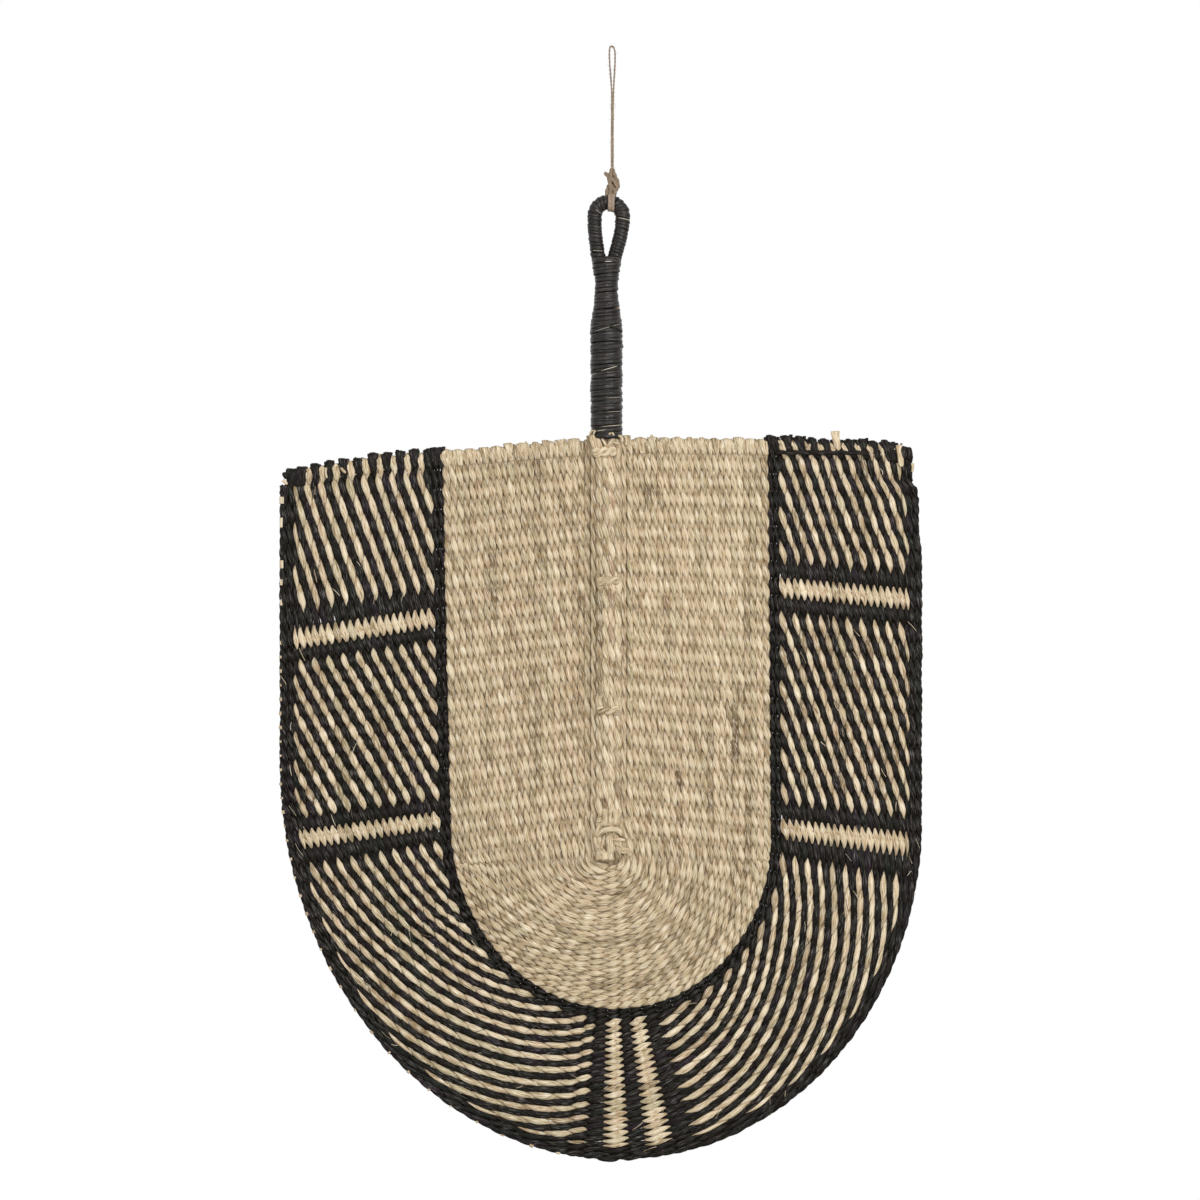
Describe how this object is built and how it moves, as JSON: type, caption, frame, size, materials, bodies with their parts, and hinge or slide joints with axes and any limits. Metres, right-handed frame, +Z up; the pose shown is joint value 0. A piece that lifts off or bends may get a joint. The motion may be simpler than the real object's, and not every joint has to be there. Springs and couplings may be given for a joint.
{
  "type": "woven seagrass hand fan",
  "caption": "Flat U-shaped hand fan twined from natural and black seagrass, with a wound grip, a hanging eye and a loop of jute twine.",
  "frame": {"origin": "where the twine's loop lies on the nail, on the loop's inner side, on the fan's own axis", "axes": "+X to the right seen from the front, +Y from the front of the blade to its back (the front faces -Y), +Z up; the fan hangs straight down along -Z"},
  "size_m": [0.3554, 0.0179, 0.6151],
  "materials": {
    "jute_twine": "dry twisted jute with loose fibres",
    "cane": "bare cane, satin",
    "wrapping_straw": "flat strips of black dyed grass, satin with bright fibres",
    "natural_straw": "dried seagrass strand, fibrous, satin",
    "black_straw": "dyed seagrass strand, fibrous, satin",
    "striped_straw": "one natural and one black seagrass strand",
    "stake_stalk": "dried grass stalk"
  },
  "bodies": {
    "twine": {"twine_loop": "jute_twine", "twine_knot": "jute_twine"},
    "tie": {"twine_tie": "jute_twine"},
    "fan": {"eye_cane": "cane", "eye_winding": "wrapping_straw", "grip_winding": "wrapping_straw", "spine_stick": "cane", "ridge_front": "natural_straw", "ridge_back": "natural_straw", "top_binding": "natural_straw", "tie_stitch_1": "natural_straw", "tie_stitch_2": "natural_straw", "tie_stitch_3": "natural_straw", "foot_knot": "natural_straw", "stake_01": "stake_stalk", "stake_02": "stake_stalk", "stake_03": "stake_stalk", "stake_04": "stake_stalk", "stake_05": "stake_stalk", "stake_06": "stake_stalk", "stake_07": "stake_stalk", "stake_08": "stake_stalk", "stake_09": "stake_stalk", "stake_10": "stake_stalk", "stake_11": "stake_stalk", "stake_12": "stake_stalk", "stake_13": "stake_stalk", "stake_14": "stake_stalk", "stake_15": "stake_stalk", "stake_16": "stake_stalk", "stake_17": "stake_stalk", "stake_18": "stake_stalk", "stake_19": "stake_stalk", "stake_20": "stake_stalk", "stake_21": "stake_stalk", "stake_22": "stake_stalk", "spokes": "stake_stalk", "course_01": "natural_straw", "course_02": "natural_straw", "course_03": "natural_straw", "course_04": "natural_straw", "course_05": "natural_straw", "course_06": "natural_straw", "course_07": "natural_straw", "course_08": "natural_straw", "course_09": "natural_straw", "course_10": "natural_straw", "course_11": "natural_straw", "course_12": "black_straw", "course_13": "striped_straw", "course_14": "striped_straw", "course_15": "striped_straw", "course_16": "striped_straw", "course_17": "striped_straw", "course_18": "striped_straw", "course_19": "striped_straw", "course_20": "striped_straw", "course_21": "striped_straw", "course_22": "striped_straw", "course_23": "black_straw"}
  },
  "joints": [
    {"name": "eye_swing", "type": "hinge", "parent": "twine", "child": "tie", "pos_m": [0, 0, -0.0854], "axis": [1, 0, 0], "range_deg": [-90, 90]},
    {"name": "eye_slide", "type": "hinge", "parent": "tie", "child": "fan", "pos_m": [0, 0, -0.0931], "axis": [0, 1, 0], "range_deg": [-60, 60]}
  ]
}
